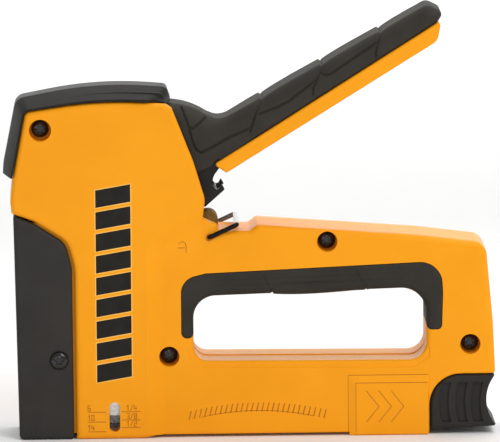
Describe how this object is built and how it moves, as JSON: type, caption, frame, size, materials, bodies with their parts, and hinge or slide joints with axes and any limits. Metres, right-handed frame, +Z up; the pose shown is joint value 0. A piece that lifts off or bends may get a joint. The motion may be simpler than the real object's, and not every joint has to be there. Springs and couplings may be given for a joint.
{
  "type": "staple gun",
  "caption": "Hand-powered staple gun with a cast body, squeeze lever, sprung striker, swinging wire lock and a staple magazine that pulls out at the rear.",
  "frame": {"origin": "on the base plane, under the middle of the tool's length and width", "axes": "+X towards the rear latch, with the nose at -X; +Z up; the tool's left side, with the staple window, faces -Y"},
  "size_m": [0.1978, 0.0356, 0.1739],
  "materials": {
    "yellow_casting": "satin paint",
    "yellow_strip": "satin",
    "black_cover": "fine matt texture",
    "black_rubber": "soft matt",
    "black_latch": "fine matt texture",
    "dark_steel": "black oxide",
    "bright_steel": "zinc plated",
    "spring_steel": "oiled",
    "bail_wire": "plated wire",
    "staple_wire": "galvanised",
    "black_screw": "black oxide",
    "amber_urethane": "smooth"
  },
  "bodies": {
    "housing": {"housing_left": "yellow_casting", "housing_right": "yellow_casting", "top_cap": "black_cover", "nose_cover": "black_cover", "nose_plate": "bright_steel", "handle_grip": "black_rubber", "magazine_track": "bright_steel", "striker_guide": "bright_steel", "spring_seat": "bright_steel", "shock_absorber": "amber_urethane", "lever_pin": "bright_steel", "housing_screws": "black_screw", "nose_screws": "black_screw", "lever_bumper": "amber_urethane", "bumper_pin": "bright_steel", "return_spring": "spring_steel", "power_spring": "spring_steel"},
    "lever": {"lever_frame": "dark_steel", "lever_strip": "yellow_strip", "lever_grip": "black_rubber", "lifter_roller": "bright_steel", "lifter_pin": "bright_steel"},
    "striker": {"striker_carrier": "dark_steel", "driver_blade": "bright_steel", "blade_rivets": "bright_steel"},
    "bail": {"wire_bail": "bail_wire"},
    "magazine": {"rear_latch": "black_latch", "staple_rail": "bright_steel", "pusher_guide_rod": "bright_steel", "rail_pin": "bright_steel", "latch_spring": "spring_steel", "staple_strip": "staple_wire", "pusher_spring": "spring_steel"},
    "pusher": {"staple_pusher": "black_latch"}
  },
  "joints": [
    {"name": "lever_pivot", "type": "hinge", "parent": "housing", "child": "lever", "pos_m": [-0.0331, 0, 0.1068], "axis": [0, 1, 0], "range_deg": [0, 32], "stiffness_Nm_per_rad": 1.5, "springref_deg": -22.92},
    {"name": "striker_slide", "type": "slide", "parent": "housing", "child": "striker", "axis": [0, 0, 1], "range_m": [0, 0.01705], "deforming": ["power_spring"]},
    {"name": "bail_pivot", "type": "hinge", "parent": "housing", "child": "bail", "pos_m": [-0.0164, 0, 0.0816], "axis": [0, -1, 0], "range_deg": [0, 55]},
    {"name": "magazine_slide", "type": "slide", "parent": "housing", "child": "magazine", "axis": [1, 0, 0], "range_m": [0, 0.095]},
    {"name": "pusher_slide", "type": "slide", "parent": "magazine", "child": "pusher", "axis": [1, 0, 0], "range_m": [0, 0.06], "stiffness_N_per_m": 50, "springref_m": -0.08, "deforming": ["pusher_spring"]}
  ],
  "couplings": [
    {"joint": "striker_slide", "follows": "lever_pivot", "m_per_rad": 0.030438}
  ]
}
